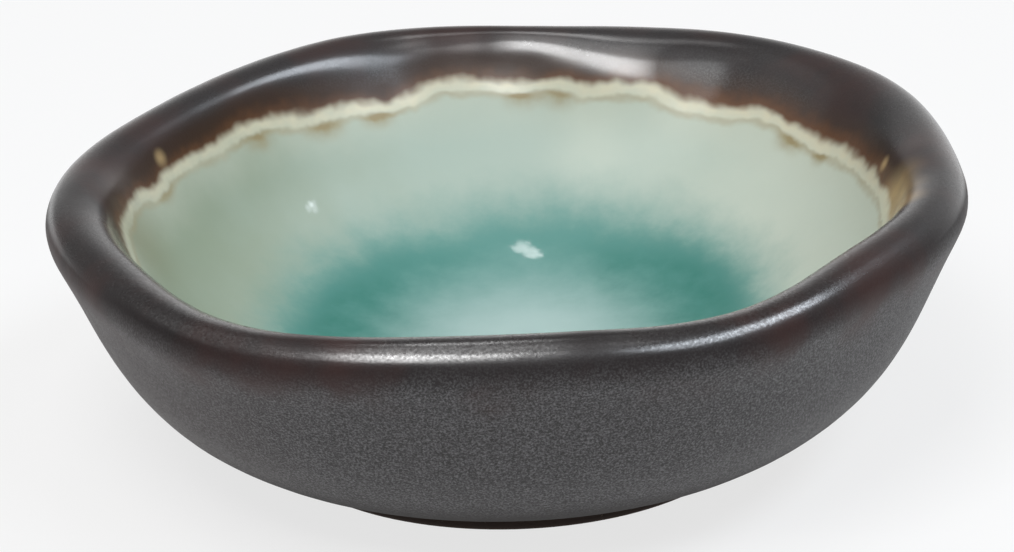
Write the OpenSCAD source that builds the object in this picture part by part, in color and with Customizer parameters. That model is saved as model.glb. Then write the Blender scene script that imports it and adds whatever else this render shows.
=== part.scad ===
// Small hand-formed stoneware dish for soy sauce.
// The fired body carries a luted foot ring and four glazes that meet edge to edge:
// a bronze coat outside and over the lip, a rust line inside the lip,
// a celadon liner down the wall and a pool of thick glass in the well.
// Millimetres, +Z up, origin at the centre of the foot on the table.

/* [Rim] */
// Outside radius of the rim at its widest lobes
rim_r = 53; // [48:0.5:60]
// Height of the rim above the table at its lobes
rim_h = 30; // [26:0.5:36]
// Thickness of the rolled lip
lip_t = 5.6; // [4.8:0.1:6.6]
// Radius of the soft roll from the crest of the lip to the inside wall
roll_r = 5.4; // [4:0.2:6.4]
// Depth of the deepest place where the rim is pushed in
dent_depth = 6.4; // [0:0.2:8]

/* [Well] */
// Height of the inside floor above the table
floor_h = 8.6; // [7:0.2:10]
// Radius of the level part of the inside floor
floor_r = 12; // [8:0.5:16]
// Sag of the inside floor at its centre
floor_sag = 0.4; // [0:0.1:0.8]

/* [Foot] */
// Outside radius of the foot ring
foot_r = 26.4; // [22:0.2:28]
// Width of the foot ring
foot_w = 4; // [3:0.2:6]
// Height of the foot ring
foot_h = 2.2; // [1.6:0.1:3]
// Chamfer on the two edges of the foot that meet the table
foot_edge = 0.5; // [0.2:0.1:0.8]
// Ledge of the body's underside outside the foot ring
foot_ledge = 1.8; // [1.2:0.1:2.4]

/* [Glaze] */
// Thickness of the bronze coat
coat_t = 0.5; // [0.3:0.1:0.8]
// Thickness of the celadon liner
liner_t = 0.6; // [0.3:0.1:0.8]
// Thickness of the glass pool at the centre of the well
pool_t = 1.4; // [0.8:0.1:1.8]

/* [Hidden] */

// Places pushed in round the rim: where, how wide to each side, and how deep
dent_angles = [4, 84, 146, 202, 272, 325];
dent_spreads = [38, 33, 56, 40, 47, 36];
dent_depth_shares = [0.6, 0.8, 1, 0.6, 0.75, 0.9];
// The dents fade out from the rim to the foot, and lift the rim a little
dent_fade_power = 1.5;
dent_lift_share = 0.1;

// Places where the roll is broader or tighter: where, how wide to each side, and by how much
roll_angles = [70, 86];
roll_spreads = [20, 14];
roll_change_shares = [0.75, -0.25];

// Slope of the belly at the foot and where the lip starts, in degrees
belly_slope = 17;
lip_under_angle = -40;
// Lengths of the outer curve's handles, as shares of its span
belly_share = 0.5;
shoulder_share = 0.3;
// The point that the inside wall heads for before it turns to the floor, as shares of the rim's radius
// and height, and the share of the way from the level floor to it at which the floor starts to rise
knee_r_share = 0.65;
knee_h_share = 0.42;
floor_rise_share = 0.5;

// Edges of the glazes inside, as shares of the way from the crest of the lip to the level floor,
// and for the pool as a share of the wall below the roll
coat_end_share = 0.122;
line_end_share = 0.193;
pool_start_share = 0.52;
// The rust line runs higher where the rim is pushed in, and waves round the dish
run_lift_share = 0.043;
run_counts = [5, 9, 14];
run_phases = [40, 160, 290];
run_shares = [0.006, 0.008, 0.006];

// Facets round the dish and along each stretch of the section
turn_steps = 60;
wall_steps = 9;
lip_steps = 5;
coat_steps = 4;
line_steps = 2;
liner_steps = 5;
pool_steps = 3;
floor_steps = 2;

// Rows of the section where one stretch ends and the next begins
wall_end = wall_steps;
lip_end = wall_end + lip_steps;
coat_end = lip_end + coat_steps;
line_end = coat_end + line_steps;
liner_end = line_end + liner_steps;
pool_end = liner_end + pool_steps;
floor_end = pool_end + floor_steps;

lip_r = lip_t / 2;
lip_centre = [rim_r - lip_r, rim_h - lip_r];
base_r = foot_r + foot_ledge;
knee = [rim_r * knee_r_share, rim_h * knee_h_share];
full_turn = 360;
half_turn = full_turn / 2;
quarter_turn = full_turn / 4;

// A value that goes evenly from one to another while at goes from start to end
function between(at, start, end, from, to) = from + (to - from) * (at - start) / (end - start);

// Ways in the section's plane: at an angle, square to it, and out of the glaze beside a curve
function along(angle) = [cos(angle), sin(angle)];
function across(angle) = [-sin(angle), cos(angle)];
function outward(way) = [way.y, -way.x] / norm(way);

// Cubic curve through its first and last points
function curve_point(p, t) =
    pow(1 - t, 3) * p[0] + 3 * t * pow(1 - t, 2) * p[1] + 3 * t * t * (1 - t) * p[2] + pow(t, 3) * p[3];
function curve_way(p, t) =
    pow(1 - t, 2) * (p[1] - p[0]) + 2 * t * (1 - t) * (p[2] - p[1]) + t * t * (p[3] - p[2]);

// A curve given by its two ends, the way it leaves one and reaches the other, and its handles
function handled(from, leave, leave_share, to, reach, reach_share) =
    let (span = norm(to - from))
    [from, from + span * leave_share * leave, to - span * reach_share * reach, to];

outer_curve = handled(
    [base_r, foot_h], along(belly_slope), belly_share,
    lip_centre + lip_r * along(lip_under_angle), across(lip_under_angle), shoulder_share);

// Uneven places round the rim, added up at an angle
function turned(angle) = (angle + full_turn + half_turn) % full_turn - half_turn;
function bump(share) = abs(share) < 1 ? (1 + cos(half_turn * share)) / 2 : 0;
function uneven(angle, places, spreads, shares) =
    shares * [for (k = [0 : len(places) - 1]) bump(turned(angle - places[k]) / spreads[k])];

// How far the rim is pushed in at an angle, as a share of the deepest dent
function dent_share(angle) = uneven(angle, dent_angles, dent_spreads, dent_depth_shares);

// The roll at an angle: its radius, its centre, and how far it turns before it heads for the knee
function roll_at(angle) = roll_r * (1 + uneven(angle, roll_angles, roll_spreads, roll_change_shares));
function roll_centre(angle) = [rim_r - lip_r, rim_h - roll_at(angle)];
function roll_turn(angle) =
    let (to_knee = knee - roll_centre(angle))
    atan2(to_knee.y, to_knee.x) + full_turn - acos(roll_at(angle) / norm(to_knee)) - quarter_turn;

// A point on the roll, a share of the way from the crest, and the way out of the glaze there
function roll_out(share, angle) = along(quarter_turn + share * roll_turn(angle));
function roll_point(share, angle) = roll_centre(angle) + roll_at(angle) * roll_out(share, angle);

// The inside wall leaves the roll towards the knee and ends level at the floor
function inner_curve(angle) = [
    roll_point(1, angle), knee,
    [floor_r + floor_rise_share * (knee.x - floor_r), floor_h], [floor_r, floor_h]];

// The roll's share of the inside, so that equal shares are equal lengths where roll and wall meet
function roll_share(angle) =
    let (roll_length = roll_at(angle) * PI * roll_turn(angle) / half_turn)
    roll_length / (roll_length + 3 * norm(knee - roll_point(1, angle)));
function inner_point(share, angle) =
    let (roll_end = roll_share(angle))
    share < roll_end
    ? roll_point(share / roll_end, angle)
    : curve_point(inner_curve(angle), between(share, roll_end, 1, 0, 1));
function inner_out(share, angle) =
    let (roll_end = roll_share(angle))
    share < roll_end
    ? roll_out(share / roll_end, angle)
    : outward(curve_way(inner_curve(angle), between(share, roll_end, 1, 0, 1)));

// How far the rust line strays down the inside at an angle, as a share of the inside
function run_share(angle) =
    run_shares * [for (k = [0 : len(run_counts) - 1]) sin(run_counts[k] * angle + run_phases[k])]
    - run_lift_share * dent_share(angle);

// Share of the inside at a row, from one glaze edge to the next
function inner_share(row, angle) =
    let (coat_share = coat_end_share + run_share(angle), line_share = line_end_share + run_share(angle))
    let (pool_share = between(pool_start_share, 0, 1, roll_share(angle), 1))
    row <= coat_end ? between(row, lip_end, coat_end, 0, coat_share)
    : row <= line_end ? between(row, coat_end, line_end, coat_share, line_share)
    : row <= liner_end ? between(row, line_end, liner_end, line_share, pool_share)
    : between(row, liner_end, pool_end, pool_share, 1);

// Section point [radius, height] of the glazed surface, and the way out of the glaze there
function skin_point(row, angle) =
    row <= wall_end ? curve_point(outer_curve, row / wall_steps)
    : row <= lip_end
    ? lip_centre + lip_r * along(between(row, wall_end, lip_end, lip_under_angle, quarter_turn))
    : row <= pool_end ? inner_point(inner_share(row, angle), angle)
    : let (left_share = between(row, pool_end, floor_end, 1, 0))
      [floor_r * left_share, floor_h - floor_sag * (1 - left_share * left_share)];
function skin_out(row, angle) =
    row <= wall_end ? outward(curve_way(outer_curve, row / wall_steps))
    : row <= lip_end ? along(between(row, wall_end, lip_end, lip_under_angle, quarter_turn))
    : row <= pool_end ? inner_out(inner_share(row, angle), angle)
    : [0, 1];

// Thickness of the glaze at a row, and the clay surface under it
function glaze_t(row) =
    row <= coat_end ? coat_t
    : row <= line_end ? between(row, coat_end, line_end, coat_t, liner_t)
    : row <= liner_end ? liner_t
    : row <= pool_end ? between(row, liner_end, pool_end, liner_t, pool_t)
    : pool_t;
function clay_point(row, angle) =
    row == 0
    ? [base_r - coat_t / sin(belly_slope), foot_h]
    : skin_point(row, angle) - glaze_t(row) * skin_out(row, angle);

// A section point placed round the dish, with the dents in it
function placed(p, angle) =
    let (fade_share = pow(max(0, (p.y - foot_h) / (rim_h - foot_h)), dent_fade_power))
    let (dent = dent_depth * dent_share(angle) * fade_share)
    let (reach = p.x * (1 - dent / rim_r))
    [reach * cos(angle), reach * sin(angle), p.y + dent_lift_share * dent];
turn_angles = [for (j = [0 : turn_steps - 1]) full_turn * j / turn_steps];
function skin_ring(row) = [for (angle = turn_angles) placed(skin_point(row, angle), angle)];
function clay_ring(row) = [for (angle = turn_angles) placed(clay_point(row, angle), angle)];

// Faces between two rings of points that start at the given places in the list
function ring_faces(from, to) =
    [for (j = [0 : turn_steps - 1])
        let (next = (j + 1) % turn_steps)
        each [[from + j, to + j, to + next], [from + j, to + next, from + next]]];
function fan_faces(ring, tip) =
    [for (j = [0 : turn_steps - 1]) [ring + j, tip, ring + (j + 1) % turn_steps]];
function flipped(faces) = [for (face = faces) [face[2], face[1], face[0]]];
function sheet_faces(start, rows) =
    [for (k = [0 : rows - 2]) each ring_faces(start + k * turn_steps, start + (k + 1) * turn_steps)];

// A band of glaze between two rows of the section, from its face down to the clay
module glaze_band(from_row, to_row) {
    rows = to_row - from_row + 1;
    clay_start = rows * turn_steps;
    last = (rows - 1) * turn_steps;
    points = [
        for (row = [from_row : to_row]) each skin_ring(row),
        for (row = [from_row : to_row]) each clay_ring(row)];
    faces = [
        each sheet_faces(0, rows),
        each flipped(sheet_faces(clay_start, rows)),
        each flipped(ring_faces(0, clay_start)),
        each ring_faces(last, clay_start + last)];
    polyhedron(points = points, faces = faces);
}

module clay_body() {
    rows = floor_end;
    tip = rows * turn_steps;
    points = [
        for (row = [0 : rows - 1]) each clay_ring(row),
        [0, 0, clay_point(floor_end, 0).y],
        [0, 0, foot_h]];
    faces = [
        each sheet_faces(0, rows),
        each fan_faces(tip - turn_steps, tip),
        each flipped(fan_faces(0, tip + 1))];
    color([0.23, 0.16, 0.13])
        polyhedron(points = points, faces = faces);
}

module foot_ring() {
    inner_r = foot_r - foot_w;
    color([0.26, 0.18, 0.14])
        rotate_extrude($fn = turn_steps)
            polygon([
                [inner_r, foot_edge],
                [inner_r + foot_edge, 0],
                [foot_r - foot_edge, 0],
                [foot_r, foot_edge],
                [foot_r, foot_h],
                [inner_r, foot_h]]);
}

module bronze_coat() {
    color([0.24, 0.21, 0.20])
        glaze_band(0, coat_end);
}

module rust_line() {
    color([0.48, 0.32, 0.18])
        glaze_band(coat_end, line_end);
}

module celadon_liner() {
    color([0.66, 0.75, 0.68])
        glaze_band(line_end, liner_end);
}

module glass_pool() {
    rows = floor_end - liner_end;
    clay_start = rows * turn_steps;
    tip = 2 * clay_start;
    last = clay_start - turn_steps;
    points = [
        for (row = [liner_end : floor_end - 1]) each skin_ring(row),
        for (row = [liner_end : floor_end - 1]) each clay_ring(row),
        [0, 0, skin_point(floor_end, 0).y],
        [0, 0, clay_point(floor_end, 0).y]];
    faces = [
        each sheet_faces(0, rows),
        each fan_faces(last, tip),
        each flipped(sheet_faces(clay_start, rows)),
        each flipped(fan_faces(clay_start + last, tip + 1)),
        each flipped(ring_faces(0, clay_start))];
    color([0.24, 0.55, 0.50])
        polyhedron(points = points, faces = faces);
}

clay_body();
foot_ring();
bronze_coat();
rust_line();
celadon_liner();
glass_pool();
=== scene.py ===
# %% [markdown]
# # A small stoneware dish for soy sauce
#
# The dish is one fired body on a low foot, with four glazes that ran into each other in the kiln:
# bronze outside and over the lip, a rust line inside it, pale celadon down the wall and a pool of
# teal glass in the well. The fixed frame already holds each piece at its real size. This lesson
# turns its faceted solids into smooth, slightly uneven pottery, and builds glazes that break, run
# and pool as real ones do.

# %% Load the fixed frame
import math

import bpy
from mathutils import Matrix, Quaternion, Vector, kdtree


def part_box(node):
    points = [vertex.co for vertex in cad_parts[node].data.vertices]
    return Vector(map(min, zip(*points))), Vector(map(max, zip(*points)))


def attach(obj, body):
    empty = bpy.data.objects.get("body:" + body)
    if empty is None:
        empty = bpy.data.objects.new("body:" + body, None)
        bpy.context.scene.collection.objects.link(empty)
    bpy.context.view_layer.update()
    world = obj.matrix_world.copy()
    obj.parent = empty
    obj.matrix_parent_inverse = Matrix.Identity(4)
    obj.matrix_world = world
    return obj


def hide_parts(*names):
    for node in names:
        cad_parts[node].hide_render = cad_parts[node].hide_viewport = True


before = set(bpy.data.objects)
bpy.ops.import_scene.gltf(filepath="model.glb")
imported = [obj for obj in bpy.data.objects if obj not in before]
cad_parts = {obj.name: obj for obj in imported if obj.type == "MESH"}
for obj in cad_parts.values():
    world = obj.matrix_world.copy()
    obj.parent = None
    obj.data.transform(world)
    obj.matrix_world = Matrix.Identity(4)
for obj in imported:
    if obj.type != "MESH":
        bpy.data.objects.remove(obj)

MM = 0.001
DEGREE = math.pi / 180
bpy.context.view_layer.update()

# %% [markdown]
# ## The camera
#
# A dish on a table is photographed from a step back with a long lens, so that the near lip doesn't
# swell and hide the well. The camera looks down at about 22 degrees, and it was held a little
# askew, which shows as the rim rising to the right. Aiming at a point above the foot frames the
# dish, so the lens needs no shift.

# %% Set up the camera
VIEW_AIM = Vector((-0.2, 0, 18.4)) * MM
VIEW_DISTANCE = 698.7 * MM
VIEW_ELEVATION = 22.34 * DEGREE
VIEW_TILT = -1.73 * DEGREE
LENS_MM = 228.6
SENSOR_MM = 36
NEAREST_SEEN = 0.05


def way_to(azimuth, elevation):
    """Unit vector from the dish; azimuth 0 is straight behind it and a quarter turn is to its right."""
    level = math.cos(elevation)
    return Vector((level * math.sin(azimuth), level * math.cos(azimuth), math.sin(elevation)))


view_way = way_to(math.pi, VIEW_ELEVATION)
bpy.ops.object.camera_add(location=VIEW_AIM + VIEW_DISTANCE * view_way)
camera = bpy.context.object
camera.rotation_mode = "QUATERNION"
camera.rotation_quaternion = (-view_way).to_track_quat("-Z", "Y") @ Quaternion((0, 0, 1), VIEW_TILT)
camera.data.lens = LENS_MM
camera.data.sensor_width = SENSOR_MM
camera.data.clip_start = NEAREST_SEEN
bpy.context.scene.camera = camera
bpy.context.scene.view_settings.view_transform = "Standard"
print("camera at", [round(c, 3) for c in camera.location], "m")

# %% [markdown]
# ## The light
#
# Glossy glaze shows whatever stands round it, so the lamps are chosen for what the dish should
# mirror. A wide, weak fill hangs on the left, and a small ceiling lamp greys the top of the lip. A key
# lamp above the camera's left shoulder draws the line along the near lip and the flash in the far
# dent, and a cool window to the right gives the far rim its sheen. A small lamp behind leaves a spark
# in the well.

# %% Hang the lamps
COOL_WHITE = (0.85, 0.92, 1)


def hang_lamp(name, azimuth, elevation, distance, size, watts, turn=0, colour=(1, 1, 1)):
    """An area lamp that faces the dish, with its angles in degrees and its size and distance in metres."""
    way = way_to(azimuth * DEGREE, elevation * DEGREE)
    bpy.ops.object.light_add(type="AREA", location=way * distance)
    lamp = bpy.context.object
    lamp.name = name
    lamp.rotation_mode = "QUATERNION"
    lamp.rotation_quaternion = (-way).to_track_quat("-Z", "Y") @ Quaternion((0, 0, 1), turn * DEGREE)
    lamp.data.shape = "RECTANGLE"
    lamp.data.size, lamp.data.size_y = size
    lamp.data.energy = watts
    lamp.data.color = colour
    print(f"{name}: {watts} W, {size[0]} x {size[1]} m")


hang_lamp("fill", azimuth=-95, elevation=62, distance=1.4, size=(1.8, 1.8), watts=1.6)
hang_lamp("ceiling", azimuth=-120, elevation=82, distance=1.2, size=(0.6, 0.6), watts=1.1)
hang_lamp("key", azimuth=-154, elevation=58, distance=1.1, size=(0.52, 0.48), watts=5.7)
hang_lamp(
    "window", azimuth=104, elevation=53.5, distance=1.1, size=(1.3, 0.32), watts=6.2,
    turn=-12, colour=COOL_WHITE)
hang_lamp("back_spark", azimuth=-5, elevation=64, distance=1.2, size=(0.1, 0.25), watts=0.3)

# %% [markdown]
# ## Writing materials as sums
#
# A glaze is a recipe of masks: how far from the rust line, how deep in the well, how speckled here.
# Such recipes read best as ordinary sums. A small class wraps a socket, so that Python's operators
# add the Math nodes, and one method makes every other kind of node.

# %% A finish and its signals
class Signal:
    """One output socket of a finish, which Python's operators can work on."""

    def __init__(self, finish, socket):
        self.finish = finish
        self.socket = socket

    def maths(self, operation, first, second):
        return self.finish.node("ShaderNodeMath", {"operation": operation}, {0: first, 1: second})

    def __add__(self, other):
        return self.maths("ADD", self, other)

    def __sub__(self, other):
        return self.maths("SUBTRACT", self, other)

    def __rsub__(self, other):
        return self.maths("SUBTRACT", other, self)

    def __mul__(self, other):
        return self.maths("MULTIPLY", self, other)

    __radd__ = __add__
    __rmul__ = __mul__


class Finish:
    """A material made of nodes, or another thing that has them, such as the room's own light."""

    def __init__(self, name, shelf=bpy.data.materials):
        self.material = shelf.new(name)
        self.material.use_nodes = True
        self.tree = self.material.node_tree
        self.tree.nodes.clear()

    def node(self, kind, settings, inputs, output=0):
        """Adds a node, sets it up, fills or links its inputs and returns one output, if it has any."""
        made = self.tree.nodes.new(kind)
        for name, value in settings.items():
            setattr(made, name, value)
        for name, value in inputs.items():
            if isinstance(value, Signal):
                self.tree.links.new(value.socket, made.inputs[name])
            else:
                made.inputs[name].default_value = value
        if output is not None:
            return Signal(self, made.outputs[output])

    def close(self, **inputs):
        """The Principled shader that ends every finish here."""
        named = {name.replace("_", " "): value for name, value in inputs.items()}
        surface = self.node("ShaderNodeBsdfPrincipled", {}, named)
        self.node_output = self.tree.nodes.new("ShaderNodeOutputMaterial")
        self.tree.links.new(surface.socket, self.node_output.inputs["Surface"])
        print(f"{self.material.name}: {len(self.tree.nodes)} nodes")
        return self.material


def spot_mm(finish, stretch=(1, 1, 1)):
    """Place on the dish in millimetres; a small stretch draws a pattern out along that axis."""
    place = finish.node("ShaderNodeTexCoord", {}, {}, "Object")
    scale = [share / MM for share in stretch]
    return finish.node("ShaderNodeMapping", {}, {"Vector": place, "Scale": scale})


def noise(finish, spot, size, detail=2.0, roughness=0.5):
    """Cloudy noise with lumps of about the given size, from -1 to 1."""
    cloud = finish.node(
        "ShaderNodeTexNoise", {},
        {"Vector": spot, "Scale": 1 / size, "Detail": detail, "Roughness": roughness})
    return (cloud - 0.5) * 2


def rise(finish, value, low, high):
    """0 below low, 1 above high, with a soft turn between."""
    return finish.node(
        "ShaderNodeMapRange", {"interpolation_type": "SMOOTHSTEP"},
        {"Value": value, "From Min": low, "From Max": high})


def mix(finish, share, under, over):
    """Colour under, covered by colour over in that share."""
    return finish.node(
        "ShaderNodeMix", {"data_type": "RGBA"}, {0: share, 6: under, 7: over}, 2)


def part_of(finish, spot, axis):
    """One coordinate of a place."""
    return finish.node("ShaderNodeSeparateXYZ", {}, {"Vector": spot}, axis)


def ray_is(finish, kind):
    """1 for light that reaches the eye in one way, such as Glossy for a reflection."""
    return finish.node("ShaderNodeLightPath", {}, {}, f"Is {kind} Ray")


def paint(red, green, blue):
    return (red, green, blue, 1)


# %% [markdown]
# ## The room
#
# The room is dim, which keeps the side of the lip dark. Low down it is pale, as a backdrop is, for the
# camera and, where the backdrop stands behind the dish and a little to the right, for its reflections
# too. The light that the room gives stays the same dim grey.

# %% Light the room
ROOM_GREY = paint(0.14, 0.14, 0.14)
WHITE = paint(1, 1, 1)
BACKDROP_SHARE = 0.75
BACKDROP_TO_RIGHT = 0.2
room = Finish("room", bpy.data.worlds)
way = room.node("ShaderNodeTexCoord", {}, {}, "Generated")
low_down = 1 - rise(room, part_of(room, way, "Z"), 0.0, 0.7)
behind = rise(room, part_of(room, way, "Y") + part_of(room, way, "X") * BACKDROP_TO_RIGHT, 0.7, 0.98)
mirrored = (ray_is(room, "Glossy") + ray_is(room, "Transmission")) * behind * BACKDROP_SHARE
dim = room.node("ShaderNodeBackground", {}, {"Color": ROOM_GREY})
pale = room.node("ShaderNodeBackground", {}, {"Color": WHITE})
shown = low_down * (ray_is(room, "Camera") + mirrored)
lit = room.node("ShaderNodeMixShader", {}, {0: shown, 1: dim, 2: pale})
room.node("ShaderNodeOutputWorld", {}, {"Surface": lit}, None)
bpy.context.scene.world = room.material
print("room:", len(room.tree.nodes), "nodes")

# %% [markdown]
# ## The table
#
# A plain white sheet, large enough that its edge never shows in the dish. To the camera and in
# reflections it glows a little, as an overexposed backdrop does, which leaves only a pale shadow. The
# light that it throws back at the dish is that of plain paper.

# %% Lay the table
TABLE_SIDE = 6.0
TABLE_GLOW = 0.75
PAPER_GREY = paint(0.88, 0.88, 0.88)
PAPER_PALE = paint(0.92, 0.92, 0.92)
bpy.ops.object.select_all(action="DESELECT")
bpy.ops.mesh.primitive_plane_add(size=TABLE_SIDE)
table = bpy.context.object
table.name = "table"
table_finish = Finish("pale_paper")
fibre = noise(table_finish, spot_mm(table_finish), 30.0)
paper = mix(table_finish, fibre * 0.1 + 0.5, PAPER_GREY, PAPER_PALE)
table.data.materials.append(table_finish.close(Base_Color=paper, Roughness=0.9, IOR=1.2))
paper_shader = table_finish.node_output.inputs["Surface"].links[0].from_socket
seen = 0
for kind in ("Camera", "Glossy", "Transmission"):
    seen = seen + ray_is(table_finish, kind)
glow = table_finish.node("ShaderNodeEmission", {}, {"Color": WHITE, "Strength": 1.0})
shown = table_finish.node(
    "ShaderNodeMixShader", {}, {0: seen * TABLE_GLOW, 1: Signal(table_finish, paper_shader), 2: glow})
table_finish.tree.links.new(shown.socket, table_finish.node_output.inputs["Surface"])

# %% [markdown]
# ## One skin of glaze
#
# On the real dish the four glazes fused into one glassy skin, with no step where they meet. If each
# piece were smoothed by itself, every seam would show as a crease. So the four solids are joined,
# their hidden faces against the clay come off, and the skin that is left is smoothed as one sheet.

# %% Join the glazes and keep their outer skin
GLAZE_SLOTS = {
    "bronze_coat": "bronze_glaze",
    "rust_line": "rust_glaze",
    "celadon_liner": "celadon_glaze",
    "glass_pool": "pool_glaze",
}
WELD = 0.01 * MM
ON_CLAY = 0.1 * MM
foot_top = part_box("foot_ring")[1].z


def pick_only(piece):
    bpy.ops.object.select_all(action="DESELECT")
    piece.select_set(True)
    bpy.context.view_layer.objects.active = piece


def copy_of(node, name):
    """A new piece with its own welded copy of a CAD node's mesh."""
    piece = bpy.data.objects.new(name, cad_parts[node].data.copy())
    bpy.context.collection.objects.link(piece)
    pick_only(piece)
    bpy.ops.object.mode_set(mode="EDIT")
    bpy.ops.mesh.select_all(action="SELECT")
    bpy.ops.mesh.remove_doubles(threshold=WELD)
    bpy.ops.object.mode_set(mode="OBJECT")
    piece.data.materials.clear()
    return piece


def select_faces(piece, chosen):
    """Selects the faces for which chosen is true, and leaves the piece in edit mode."""
    pick_only(piece)
    bpy.ops.object.mode_set(mode="EDIT")
    bpy.ops.mesh.select_mode(type="FACE")
    bpy.ops.mesh.select_all(action="DESELECT")
    bpy.ops.object.mode_set(mode="OBJECT")
    count = 0
    for face in piece.data.polygons:
        face.select = chosen(face)
        count += face.select
    bpy.ops.object.mode_set(mode="EDIT")
    return count


bands = []
marked_as = {}
for node in GLAZE_SLOTS:
    band = copy_of(node, node + "_band")
    marker = bpy.data.materials.new(node)
    marked_as[marker.name] = node
    band.data.materials.append(marker)
    bands.append(band)
bpy.ops.object.select_all(action="DESELECT")
for band in bands:
    band.select_set(True)
bpy.context.view_layer.objects.active = bands[0]
bpy.ops.object.join()
skin = bpy.context.object

clay_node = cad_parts["clay_body"]
touches_clay = []
for corner in skin.data.vertices:
    nearest = clay_node.closest_point_on_mesh(corner.co)[1]
    touches_clay.append((nearest - corner.co).length < ON_CLAY)


def is_hidden(face):
    """True for a face on the clay, or between two glazes. The ledge round the foot stays."""
    highest = max(skin.data.vertices[k].co.z for k in face.vertices)
    return highest > foot_top + ON_CLAY and any(touches_clay[k] for k in face.vertices)


hidden = select_faces(skin, is_hidden)
bpy.ops.mesh.delete(type="FACE")
bpy.ops.mesh.select_all(action="SELECT")
bpy.ops.mesh.remove_doubles(threshold=WELD)
bpy.ops.mesh.tris_convert_to_quads(face_threshold=math.pi, shape_threshold=math.pi, materials=True)
bpy.ops.object.mode_set(mode="OBJECT")
print("hidden faces removed:", hidden, "faces left:", len(skin.data.polygons))

# %% [markdown]
# ## A floor without a pole
#
# The solid ends in a fan of thin triangles at the middle of the well. Subdivision pinches such a
# pole into a star, which glossy glaze would show. The fan is cut out and its ring is filled with a
# grid, as a potter's sponge leaves an even floor.

# %% Fill the middle of the well with a grid
FAN_R = 8.5 * MM
GRID_SPAN = 15


def radius_of(point):
    return math.hypot(point.x, point.y)


def in_well_middle(face):
    return radius_of(face.center) < FAN_R


fan = select_faces(skin, in_well_middle)
bpy.ops.mesh.delete(type="FACE")
bpy.ops.mesh.select_mode(type="EDGE")
bpy.ops.object.mode_set(mode="OBJECT")
ring = 0
for edge in skin.data.edges:
    edge.select = all(radius_of(skin.data.vertices[k].co) < FAN_R for k in edge.vertices)
    ring += edge.select
bpy.ops.object.mode_set(mode="EDIT")
bpy.ops.mesh.fill_grid(span=GRID_SPAN)
bpy.ops.object.mode_set(mode="OBJECT")
middle = [face for face in skin.data.polygons if in_well_middle(face)]
pool_number = list(GLAZE_SLOTS).index("glass_pool")
for face in middle:
    face.material_index = pool_number
print("fan faces:", fan, "ring edges:", ring, "grid faces:", len(middle))
print("grid faces up:", sum(face.normal.z > 0 for face in middle))
print("sides per face:", sorted({len(face.vertices) for face in skin.data.polygons}))

# %% [markdown]
# ## Smooth, but made by hand
#
# Subdivision turns the facets into a continuous surface. A thrown and pressed dish is never that
# even, though, and its highlights wander. Subdivision also draws the skin in a little, so it is first
# swelled by a hair. Then two layers of cloudy displacement go in and out by no more than that, one as
# broad as a fingertip and one finer. All of it fades out at the foot, where the skin meets the clay,
# and the dish stays inside its box.

# %% Subdivide and press the skin
SMOOTH_LEVELS = 2
PRESS_FADE = 6 * MM
SWELL = 0.06 * MM
LUMPS_MM = [(14, 0.12), (4, 0.04)]


def add_modifier(piece, kind, **settings):
    """Adds a modifier to the piece and applies it."""
    pick_only(piece)
    modifier = piece.modifiers.new(kind.lower(), kind)
    for name, value in settings.items():
        setattr(modifier, name, value)
    bpy.ops.object.modifier_apply(modifier=modifier.name)


def smooth(piece):
    add_modifier(piece, "SUBSURF", levels=SMOOTH_LEVELS, render_levels=SMOOTH_LEVELS)


def press(piece, lump, depth, group):
    """Moves the surface in and out by cloudy lumps of one size, this far apart at most."""
    clouds = bpy.data.textures.new(f"lumps_{lump}", "CLOUDS")
    clouds.noise_scale = lump * MM
    clouds.noise_depth = 1
    add_modifier(
        piece, "DISPLACE", texture=clouds, texture_coords="LOCAL",
        strength=depth * MM, mid_level=0.5, vertex_group=group)


smooth(skin)
pressed = skin.vertex_groups.new(name="pressed")
for corner in skin.data.vertices:
    share = min(1, max(0, (corner.co.z - foot_top) / PRESS_FADE))
    pressed.add([corner.index], share, "REPLACE")
add_modifier(skin, "DISPLACE", strength=SWELL, mid_level=0, vertex_group="pressed")
for lump, depth in LUMPS_MM:
    press(skin, lump, depth, "pressed")
bpy.ops.object.shade_smooth()
print("skin faces:", len(skin.data.polygons))

# %% [markdown]
# ## Measuring from the rust line
#
# The bronze glaze ends along a line that wanders round the inside of the lip. Every colour near it
# depends on how far away it is, so each point of the skin keeps that distance: below zero on the
# bronze, above zero down the wall. Points on the seam between the two glazes give the line. Each point
# also keeps how far it faces upwards, because the lustre settled on top of the lip and not below it.

# %% Keep the distance from the rust line on the skin
LINE = "line_mm"
UPWARD = "upward"
bronze_number = list(GLAZE_SLOTS).index("bronze_coat")
is_bronze = [False] * len(skin.data.vertices)
is_other = [False] * len(skin.data.vertices)
for face in skin.data.polygons:
    side = is_bronze if face.material_index == bronze_number else is_other
    for k in face.vertices:
        side[k] = True
seam = [k for k in range(len(is_bronze)) if is_bronze[k] and is_other[k]]
line = kdtree.KDTree(len(seam))
for k in seam:
    line.insert(skin.data.vertices[k].co, k)
line.balance()
distances = []
for corner in skin.data.vertices:
    distance = line.find(corner.co)[2]
    distances.append((distance if is_other[corner.index] else -distance) / MM)
skin.data.attributes.new(LINE, "FLOAT", "POINT").data.foreach_set("value", distances)
ups = [corner.normal.z for corner in skin.data.vertices]
skin.data.attributes.new(UPWARD, "FLOAT", "POINT").data.foreach_set("value", ups)
print("points on the line:", len(seam), "range in mm:", round(min(distances), 1), round(max(distances), 1))

# %% [markdown]
# ## Cutting the skin where the glazes meet
#
# The smooth skin is cut along the seams again, so that each glaze is a piece by itself, as the parts
# library expects. Solidify gives each a thickness towards the clay, which closes it.

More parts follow.
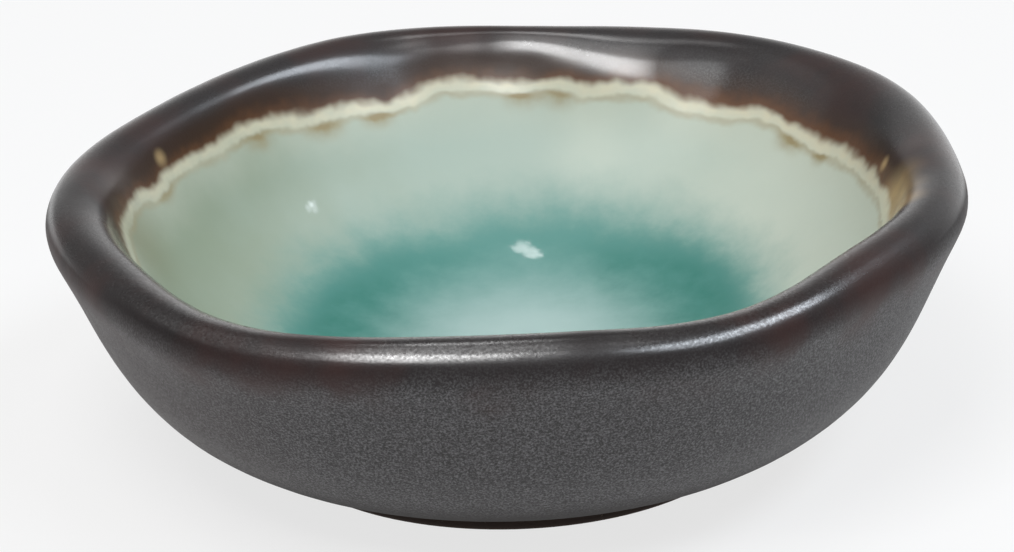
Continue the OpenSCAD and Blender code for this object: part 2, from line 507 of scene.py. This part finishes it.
# %% Separate the glazes and give them thickness
GLAZE_T = 0.2 * MM
SHARP_ANGLE = 50 * DEGREE
pick_only(skin)
bpy.ops.object.mode_set(mode="EDIT")
bpy.ops.mesh.select_all(action="SELECT")
bpy.ops.mesh.separate(type="MATERIAL")
bpy.ops.object.mode_set(mode="OBJECT")
glazes = {}
for piece in list(bpy.context.selected_objects):
    marker = piece.data.materials[piece.data.polygons[0].material_index]
    node = marked_as[marker.name]
    piece.name = node + "_skin"
    piece.vertex_groups.clear()
    add_modifier(piece, "SOLIDIFY", thickness=GLAZE_T, offset=-1)
    bpy.ops.object.shade_smooth_by_angle(angle=SHARP_ANGLE)
    piece.data.materials.clear()
    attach(piece, "root")
    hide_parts(node)
    glazes[node] = piece
    print(piece.name, len(piece.data.polygons), "faces")

# %% [markdown]
# ## The turned underside
#
# Under the dish the bare body shows inside the foot. A potter trims this recess upside down on the
# wheel, and the tool leaves shallow rings. The flat fan of the solid becomes one face, which is inset
# again and again with a small step in and out.

# %% Turn the rings under the body
RECESS_R = 22 * MM
RING_STEP = 1.7 * MM
RING_DEPTH = 0.16 * MM
RECESS_DEPTH = 0.5 * MM
body = copy_of("clay_body", "turned_body")
base_r = max(radius_of(c.co) for c in body.data.vertices if c.co.z < foot_top + ON_CLAY)
under = select_faces(body, lambda face: face.center.z < foot_top + ON_CLAY and face.normal.z < -0.9)
bpy.ops.mesh.dissolve_faces()
bpy.ops.mesh.inset(thickness=base_r - RECESS_R, depth=0)
bpy.ops.mesh.inset(thickness=RING_STEP / 2, depth=-RECESS_DEPTH)
rings = int((RECESS_R - RING_STEP) / RING_STEP) - 1
for k in range(rings):
    bpy.ops.mesh.inset(thickness=RING_STEP, depth=RING_DEPTH if k % 2 else -RING_DEPTH)
bpy.ops.mesh.inset(thickness=RING_STEP / 3, depth=0)
bpy.ops.mesh.select_all(action="SELECT")
bpy.ops.mesh.tris_convert_to_quads(face_threshold=math.pi, shape_threshold=math.pi)
bpy.ops.object.mode_set(mode="OBJECT")
smooth(body)
bpy.ops.object.shade_smooth_by_angle(angle=SHARP_ANGLE)
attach(body, "root")
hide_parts("clay_body")
print("underside faces:", under, "turned rings:", rings)

# %% [markdown]
# ## The foot
#
# The foot is a coil of clay, luted on and turned, then sanded where it stands on the table. Its
# section is a rounded bar. A circle extruded and scaled round the section gives the bar, and a bevel
# softens the two edges that meet the table.

# %% Turn the foot ring
FOOT_W = 4 * MM
FOOT_SIDES = 120
FOOT_BEVEL = 0.7 * MM
BEVEL_STEPS = 4
BEVELLED_ANGLE = 60 * DEGREE
foot_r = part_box("foot_ring")[1].x
inner_share = (foot_r - FOOT_W) / foot_r
bpy.ops.object.select_all(action="DESELECT")
bpy.ops.mesh.primitive_circle_add(vertices=FOOT_SIDES, radius=foot_r, location=(0, 0, foot_top))
foot = bpy.context.object
foot.name = "sanded_foot"
bpy.ops.object.transform_apply(location=True)
bpy.ops.object.mode_set(mode="EDIT")
bpy.ops.mesh.select_mode(type="EDGE")
bpy.ops.mesh.select_all(action="SELECT")
bpy.ops.mesh.extrude_region_move(TRANSFORM_OT_translate={"value": (0, 0, -foot_top)})
bpy.ops.mesh.extrude_region_move()
bpy.ops.transform.resize(value=(inner_share, inner_share, 1))
bpy.ops.mesh.extrude_region_move(TRANSFORM_OT_translate={"value": (0, 0, foot_top)})
bpy.ops.mesh.select_all(action="DESELECT")
bpy.ops.mesh.select_non_manifold()
bpy.ops.mesh.bridge_edge_loops()
bpy.ops.mesh.select_all(action="SELECT")
bpy.ops.mesh.normals_make_consistent(inside=False)
bpy.ops.object.mode_set(mode="OBJECT")
print("foot:", len(foot.data.polygons), "faces")
add_modifier(
    foot, "BEVEL", width=FOOT_BEVEL, segments=BEVEL_STEPS, limit_method="ANGLE",
    angle_limit=BEVELLED_ANGLE)
bpy.ops.object.shade_smooth_by_angle(angle=SHARP_ANGLE)
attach(foot, "root")
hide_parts("foot_ring")

# %% [markdown]
# ## Where the glazes run
#
# The bronze glaze doesn't stop at a clean line. It thins to brown and rust, ends in small notches, and
# leaves a cream line where it met the celadon. All of these follow one ragged distance: the distance
# kept on the skin, pushed about by noise at two sizes, the finer one drawn out down the wall. In a few
# places the bronze ran further down. On the lip itself the noise fades out, so that no island of the
# inner glaze shows up there.

# %% The ragged distance
LINE_MIDDLE = 2.0
SWAY_MM = 1.2
NOTCH_MM = 0.6
RUN_PLACES = [
    ((-23.5, 33.5, 25.5), 9.0), ((-14.0, 39.8, 25.5), 8.0), ((10.5, 38.8, 26.0), 7.0),
    ((22.5, 36.5, 25.5), 12.0)]
RUN_MM = 1.5


def near(finish, spot, places):
    """1 in the middle of each place, given by its centre and reach in mm, falling softly to 0."""
    total = 0
    for centre, reach in places:
        away = finish.node("ShaderNodeVectorMath", {"operation": "DISTANCE"}, {0: spot, 1: centre}, "Value")
        total = total + (1 - rise(finish, away, 0, reach))
    return total.maths("MINIMUM", total, 1)


def ragged_mm(finish):
    """Distance below the broken edge of the bronze glaze, in millimetres."""
    kept = finish.node("ShaderNodeAttribute", {"attribute_name": LINE}, {}, "Fac")
    spot = spot_mm(finish)
    sway = noise(finish, spot, 6.0, detail=1.0)
    notches = noise(finish, spot_mm(finish, (1, 1, 0.8)), 1.9, detail=1.0)
    broken = (sway * SWAY_MM + notches * NOTCH_MM) * rise(finish, kept, -1.0, 1.5)
    return kept - LINE_MIDDLE + broken - near(finish, spot, RUN_PLACES) * RUN_MM


# %% [markdown]
# ## Bronze glaze
#
# A dark iron and manganese glaze, almost black, and full of fine grey crystals. The pale table, which
# it mirrors, greys it further. On the lip and the left of the wall, where it ran thin, the red of the
# iron shows, and at one end of the dish it thinned to tan. Towards the foot it carries painted shade,
# and the outer side of the lip a band of painted shade for the dim room that it mirrors.

# %% Bronze colours
BRONZE_DARK = paint(0.024, 0.021, 0.021)
BRONZE_GREY = paint(0.170, 0.166, 0.170)
# Painted shade: the darkening towards the foot, where the table meets the dish.
FOOT_PAINTED_SHADE = paint(0.016, 0.013, 0.012)
# Painted shade: a dark band on the outer side of the lip, for the dim room it mirrors.
LIP_PAINTED_SHADE = paint(0.014, 0.010, 0.010)
IRON_RED = paint(0.044, 0.017, 0.014)
IRON_BROWN = paint(0.046, 0.020, 0.009)
RUST = paint(0.130, 0.050, 0.016)
TAN = paint(0.540, 0.370, 0.180)
TAN_PLACES = [
    ((41.8, -9.0, 28.8), 4.0), ((41.7, -5.0, 27.0), 5.5), ((41.6, 0.0, 25.7), 6.5),
    ((41.5, 8.8, 26.6), 1.4), ((-38.1, 15.4, 27.3), 1.5)]


def bronze_colour(finish, edge):
    """Dark glaze with fine speckle and painted shade low down and on the outer lip, red on the lip and
    brown at its broken edge.
    """
    spot = spot_mm(finish)
    speckle = rise(finish, noise(finish, spot, 0.24, detail=3.0, roughness=0.7), -0.25, 0.45)
    colour = mix(finish, speckle, BRONZE_DARK, BRONZE_GREY)
    height = part_of(finish, spot, "Z")
    across = part_of(finish, spot, "X")
    patches = noise(finish, spot, 11.0, detail=3.0)
    colour = mix(finish, rise(finish, patches * 6 - across, 15.0, 45.0) * 0.3, colour, IRON_RED)
    # Painted shade: the glaze is darker towards the foot.
    colour = mix(finish, 0.9 - rise(finish, height, 4.5, 9.5) * 0.9, colour, FOOT_PAINTED_SHADE)
    # Painted shade: a dark band on the outer side of the lip, for the dim room it mirrors.
    colour = mix(finish, rise(finish, height + patches * 2, 24.5, 28.3) * 0.9, colour, LIP_PAINTED_SHADE)
    red = rise(finish, height + patches * 4, 22.0, 28.0) * rise(finish, patches, -0.2, 0.4)
    colour = mix(finish, red * 0.8, colour, IRON_RED)
    colour = mix(finish, rise(finish, edge, -4.5, -1.2), colour, IRON_BROWN)
    wide = rise(finish, across, 0.0, 30.0) * 0.7
    rusty = rise(finish, edge + wide + noise(finish, spot, 2.5, detail=3.0) * 0.8, -2.0, 0.2)
    colour = mix(finish, rusty, colour, RUST)
    thin = near(finish, spot, TAN_PLACES) * (noise(finish, spot, 2.0) * 0.3 + 0.9)
    return mix(finish, thin, colour, TAN)


# %% [markdown]
# ## Cream, celadon and olive
#
# Where bronze and celadon met, the mix turned opaque and left a cream line, which fades into the wall.
# A thin olive line runs under it and widens into stains in a few places. Further down the celadon is a
# pale, even green. On the left it ran thin, so the body shows through, and painted shade darkens it
# further. On the right it is lighter with painted light, and below the far dent it has a painted highlight.

# %% Celadon colours
CREAM = paint(0.760, 0.710, 0.530)
HAZE = paint(0.600, 0.630, 0.520)
OLIVE = paint(0.370, 0.300, 0.165)
CELADON = paint(0.440, 0.535, 0.465)
# Painted light: this paler celadon lightens the right of the wall and the glow below the far dent.
CELADON_PAINTED_LIGHT = paint(0.635, 0.690, 0.590)
# The next two colours are partly thin glaze and partly painted shade, darkening the left of the wall.
CELADON_THIN_SHADED = paint(0.320, 0.380, 0.280)
THIN_OLIVE_SHADED = paint(0.240, 0.230, 0.120)
THIN_SHADED_PLACES = [((-40.0, 1.0, 24.0), 10.0)]
# Painted highlight: a pale glow on the wall below the far dent.
PAINTED_GLOW_PLACES = [((10.0, 39.0, 25.0), 7.0), ((10.5, 35.5, 19.0), 8.0)]
OLIVE_PLACES = [
    ((2.0, 39.9, 23.8), 3.0), ((6.2, 39.1, 24.1), 3.0), ((-14.5, 37.8, 22.8), 3.0),
    ((-20.6, 34.4, 23.3), 4.0), ((-27.5, 28.0, 23.9), 3.2), ((-38.1, 13.1, 24.8), 3.0),
    ((32.0, 26.6, 22.7), 3.2), ((35.2, 21.6, 22.7), 2.0)]


def celadon_colour(finish, edge):
    """Pale green wall with painted light on the right and a painted highlight below the far dent, thin and
    darker with painted shade on the left, with olive stains and the cream line over it.
    """
    spot = spot_mm(finish)
    clouds = noise(finish, spot, 8.0, detail=3.0)
    across = part_of(finish, spot, "X")
    # Painted light: the wall is lighter towards the right.
    colour = mix(finish, rise(finish, clouds * 6 + across, 2.0, 38.0), CELADON, CELADON_PAINTED_LIGHT)
    # Painted highlight: a pale glow on the wall below the far dent.
    colour = mix(finish, near(finish, spot, PAINTED_GLOW_PLACES) * 0.6, colour, CELADON_PAINTED_LIGHT)
    # Partly thin glaze, partly painted shade: the wall is darker and more olive towards the left.
    colour = mix(finish, rise(finish, clouds * 8 - across, 4.0, 40.0), colour, CELADON_THIN_SHADED)
    shaded_left_end = near(finish, spot, THIN_SHADED_PLACES)
    colour = mix(finish, 0.6 - rise(finish, edge, 0.5, 8.0) * 0.6, colour, HAZE)
    # Partly thin glaze, partly painted shade: darker olive at the left end.
    colour = mix(finish, shaded_left_end * 0.5, colour, THIN_OLIVE_SHADED)
    below_line = edge - (noise(finish, spot, 3.0) * 0.5 + 1.1)
    creamy = (1 - rise(finish, below_line, -0.7, 1.4)) * (noise(finish, spot, 2.2) * 0.5 + 0.85)
    colour = mix(finish, creamy * (1 - shaded_left_end * 0.5), colour, CREAM)
    thin_line = rise(finish, below_line, 0.0, 0.6) * (1 - rise(finish, below_line, 0.6, 1.6))
    faint = thin_line * (noise(finish, spot, 4.0, detail=3.0) * 0.4 + 0.4)
    band = rise(finish, below_line, -0.2, 0.8) * (1 - rise(finish, below_line, 0.9, 3.6))
    stains = near(finish, spot, OLIVE_PLACES) * band * (noise(finish, spot, 1.8, detail=3.0) * 0.4 + 0.75)
    return mix(finish, faint + stains, colour, OLIVE)


# %% [markdown]
# ## The pool
#
# In the well the celadon ran together and stands a millimetre thick, so it looks deep teal. It is
# darkest at both sides. In the middle it went milky and pale. All the edges are soft and uneven, and
# the rings lie a little off the dish's centre.

# %% Pool colours
TEAL = paint(0.133, 0.328, 0.293)
TEAL_DEEP = paint(0.045, 0.208, 0.170)
MILKY = paint(0.440, 0.585, 0.555)
POOL_CENTRE = (1.6, 3.2, 0.0)
MILK_CENTRE = (1.6, 5.0, 0.0)


def ring_radius(finish, spot, centre, squeeze=1.0):
    """Distance from a centre in mm, as seen from above; a squeeze over 1 narrows the rings along X."""
    out = finish.node("ShaderNodeVectorMath", {"operation": "SUBTRACT"}, {0: spot, 1: centre})
    flat = finish.node("ShaderNodeVectorMath", {"operation": "MULTIPLY"}, {0: out, 1: (squeeze, 1, 0)})
    return finish.node("ShaderNodeVectorMath", {"operation": "LENGTH"}, {0: flat}, "Value")


def pool_colour(finish, wall_colour):
    """The wall's colour, turning to teal in the well and milky in its middle."""
    spot = spot_mm(finish)
    sway = noise(finish, spot, 14.0, detail=2.0)
    mottle = noise(finish, spot, 3.2, detail=4.0, roughness=0.6)
    uneven = sway * 2 + mottle * 2
    radius = ring_radius(finish, spot, POOL_CENTRE) + uneven
    colour = mix(finish, 1 - rise(finish, radius, 23.0, 32.2), wall_colour, TEAL)
    across = part_of(finish, spot, "X")
    sides = rise(finish, across.maths("ABSOLUTE", across, 0) + sway * 6, 2.0, 22.0)
    deep = (1 - rise(finish, radius, 22.0, 28.0)) * (sides * 0.7 + 0.3) * (mottle * 0.5 + 0.8)
    colour = mix(finish, deep, colour, TEAL_DEEP)
    milky = ring_radius(finish, spot, MILK_CENTRE, 1.2) + uneven
    return mix(finish, 1 - rise(finish, milky, 4.0, 23.5), colour, MILKY)


# %% [markdown]
# ## Glossy or satin
#
# The bronze is satin and pebbly, and duller low on the wall. On top of the lip a thin metallic lustre
# lies over it, worn dull in a few places, and runs a little way down over the rust line. On the near
# lip the lustre keeps to the crest and is grainier, and the satin under it is smoother. The other
# glazes are smooth and soft, apart from small beads of clear glass that catch a lamp. Roughness, bump
# and lustre change over along the same ragged edge as the colour, so that no seam shows.

# %% Dress the glazes
BEADS = [((1.7, 25.4, 11.2), 2.2), ((3.0, 24.2, 10.8), 1.6), ((-22.3, 26.1, 16.4), 1.9)]
DULL_PLACES = [
    ((-7.0, 43.5, 29.0), 4.5), ((-2.0, 43.5, 29.2), 5.0), ((19.5, 39.0, 28.0), 6.0),
    ((25.0, 37.5, 27.8), 8.0), ((8.0, -47.5, 29.7), 6.0), ((-42.5, -1.0, 27.5), 8.0),
    ((42.0, 0.0, 27.0), 8.0), ((-13.5, 39.8, 25.3), 7.0), ((-21.0, -45.8, 29.2), 9.5),
    ((21.5, 37.0, 25.5), 7.0)]
GLAZE_IOR = 1.38
COAT_IOR = 2.0
LUSTRE_ROUGHNESS = 0.22
BEAD_ROUGHNESS = 0.15
CELADON_ROUGHNESS = 0.42


def dressed(finish, edge, colour, coat_roughness):
    """Closes a glaze with a surface that goes from satin bronze to glassy celadon at the broken edge."""
    spot = spot_mm(finish)
    glassy = rise(finish, edge, -0.6, 0.8)
    upward = finish.node("ShaderNodeAttribute", {"attribute_name": UPWARD}, {}, "Fac")
    height = part_of(finish, spot, "Z")
    near_lip = 1 - rise(finish, part_of(finish, spot, "Y"), -38.0, -10.0)
    crest = rise(finish, upward - near_lip * 0.12, 0.3, 0.6)
    top = rise(finish, height, 22.0, 25.5) * crest
    grain = noise(finish, spot, 0.3, detail=2.0)
    worn = 1 - near(finish, spot, DULL_PLACES) * 0.85
    lustre = top * worn * (grain * (near_lip + 0.3) + 0.9) * (1 - rise(finish, edge, 0.3, 2.2))
    bead = rise(finish, near(finish, spot, BEADS) + noise(finish, spot, 0.9, detail=2.0) * 0.6, 0.2, 1.0)
    ripple = noise(finish, spot, 3.0, detail=1.0)
    cloudy = noise(finish, spot, 2.0, detail=3.0)
    satin = 0.82 - rise(finish, height, 4.0, 12.0) * 0.3 + cloudy * 0.06 - top * worn * near_lip * 0.25
    roughness = (1 - glassy) * satin + glassy * CELADON_ROUGHNESS
    relief = (1 - glassy) * grain * 0.012 + glassy * ripple * 0.015
    normal = finish.node(
        "ShaderNodeBump", {}, {"Height": relief, "Strength": 1.0, "Distance": MM}, "Normal")
    return finish.close(
        Base_Color=colour, Roughness=roughness, Normal=normal, IOR=GLAZE_IOR,
        Coat_Weight=lustre + glassy * bead, Coat_Roughness=coat_roughness, Coat_IOR=COAT_IOR)


def line_colour(finish, edge):
    """Bronze above the broken edge, cream and celadon below it."""
    below = celadon_colour(finish, edge)
    return mix(finish, rise(finish, edge, -0.8, 0.6), bronze_colour(finish, edge), below)


def bronze_finish():
    finish = Finish("bronze_glaze")
    edge = ragged_mm(finish)
    return dressed(finish, edge, line_colour(finish, edge), LUSTRE_ROUGHNESS)


def rust_finish():
    finish = Finish("rust_glaze")
    edge = ragged_mm(finish)
    return dressed(finish, edge, line_colour(finish, edge), LUSTRE_ROUGHNESS)


def celadon_finish():
    finish = Finish("celadon_glaze")
    edge = ragged_mm(finish)
    return dressed(finish, edge, pool_colour(finish, line_colour(finish, edge)), BEAD_ROUGHNESS)


def pool_finish():
    finish = Finish("pool_glaze")
    edge = ragged_mm(finish)
    return dressed(finish, edge, pool_colour(finish, celadon_colour(finish, edge)), BEAD_ROUGHNESS)


glazes["bronze_coat"].data.materials.append(bronze_finish())
glazes["rust_line"].data.materials.append(rust_finish())
glazes["celadon_liner"].data.materials.append(celadon_finish())
glazes["glass_pool"].data.materials.append(pool_finish())

# %% [markdown]
# ## Bare clay
#
# The unglazed clay is a dark, iron-bearing stoneware with fine grog. The foot is paler where it was
# sanded, and grains of grog stand out in it.

# %% Dress the bare clay
CLAY_DARK = paint(0.030, 0.019, 0.015)
CLAY_BROWN = paint(0.060, 0.038, 0.028)
GROG = paint(0.150, 0.110, 0.085)
SANDED = paint(0.130, 0.088, 0.064)
CLAY_IOR = 1.45


def clay_finish(name, sanded_height):
    """Matt brown clay with grog; the lowest part, up to the given height in mm, is sanded."""
    finish = Finish(name)
    spot = spot_mm(finish)
    colour = mix(finish, noise(finish, spot, 7.0, detail=4.0) * 0.5 + 0.5, CLAY_DARK, CLAY_BROWN)
    grains = rise(finish, noise(finish, spot, 0.5, detail=1.0), 0.42, 0.6)
    height = part_of(finish, spot, "Z")
    worn = 1 - rise(finish, height + noise(finish, spot, 1.5) * 0.2, sanded_height * 0.4, sanded_height)
    colour = mix(finish, worn * 0.7, colour, SANDED)
    colour = mix(finish, grains * 0.7, colour, GROG)
    tooth = noise(finish, spot, 0.4, detail=4.0, roughness=0.7) * 0.03 + grains * 0.02
    normal = finish.node(
        "ShaderNodeBump", {}, {"Height": tooth, "Strength": 1.0, "Distance": MM}, "Normal")
    return finish.close(Base_Color=colour, Roughness=worn * 0.1 + 0.8, Normal=normal, IOR=CLAY_IOR)


body.data.materials.append(clay_finish("stoneware", sanded_height=0.01))
foot.data.materials.append(clay_finish("foot_clay", sanded_height=0.4))
